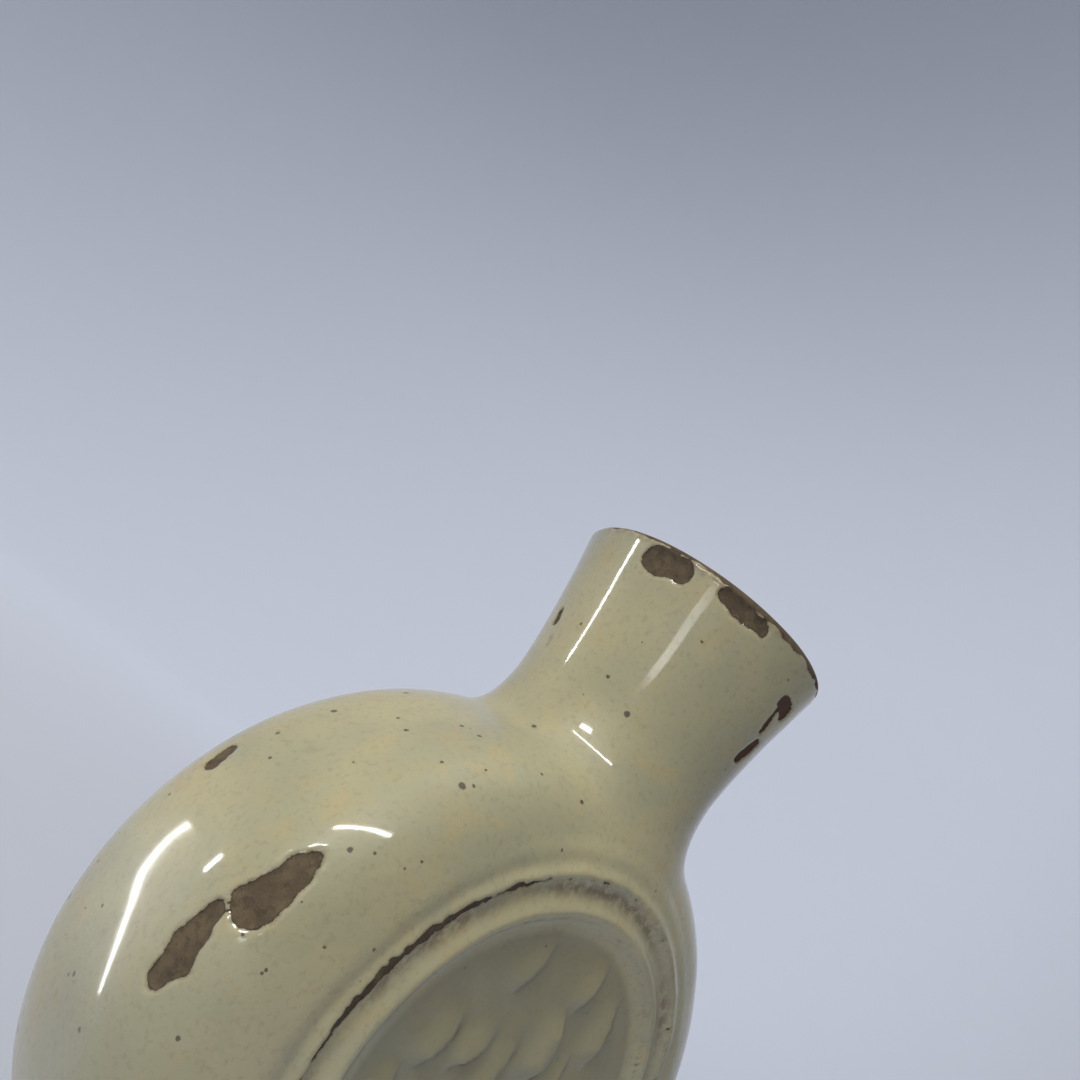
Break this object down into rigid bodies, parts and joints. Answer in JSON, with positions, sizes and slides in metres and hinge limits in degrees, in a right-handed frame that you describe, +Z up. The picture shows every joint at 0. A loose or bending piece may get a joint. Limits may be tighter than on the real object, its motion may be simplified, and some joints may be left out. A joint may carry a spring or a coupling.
{
  "type": "sake bottle",
  "caption": "Flattened round stoneware sake bottle with a flared neck, an oval foot, a ringed relief roundel on each face and a cream glaze.",
  "frame": {"origin": "centre of the foot's underside, on the surface that the bottle stands on", "axes": "+Z up through the mouth, X across the width of the body, Y through its depth, front roundel towards -Y"},
  "size_m": [0.104, 0.0454, 0.131],
  "materials": {
    "clay": "rough",
    "outer_glaze": "glossy",
    "inner_glaze": "glossy"
  },
  "bodies": {
    "root": {"front_half": "clay", "back_half": "clay", "seam_coil": "clay", "neck_collar": "clay", "luting_ring": "clay", "foot_ring": "clay", "front_roundel": "clay", "back_roundel": "clay", "outer_glaze": "outer_glaze", "inner_glaze": "inner_glaze"}
  },
  "joints": []
}
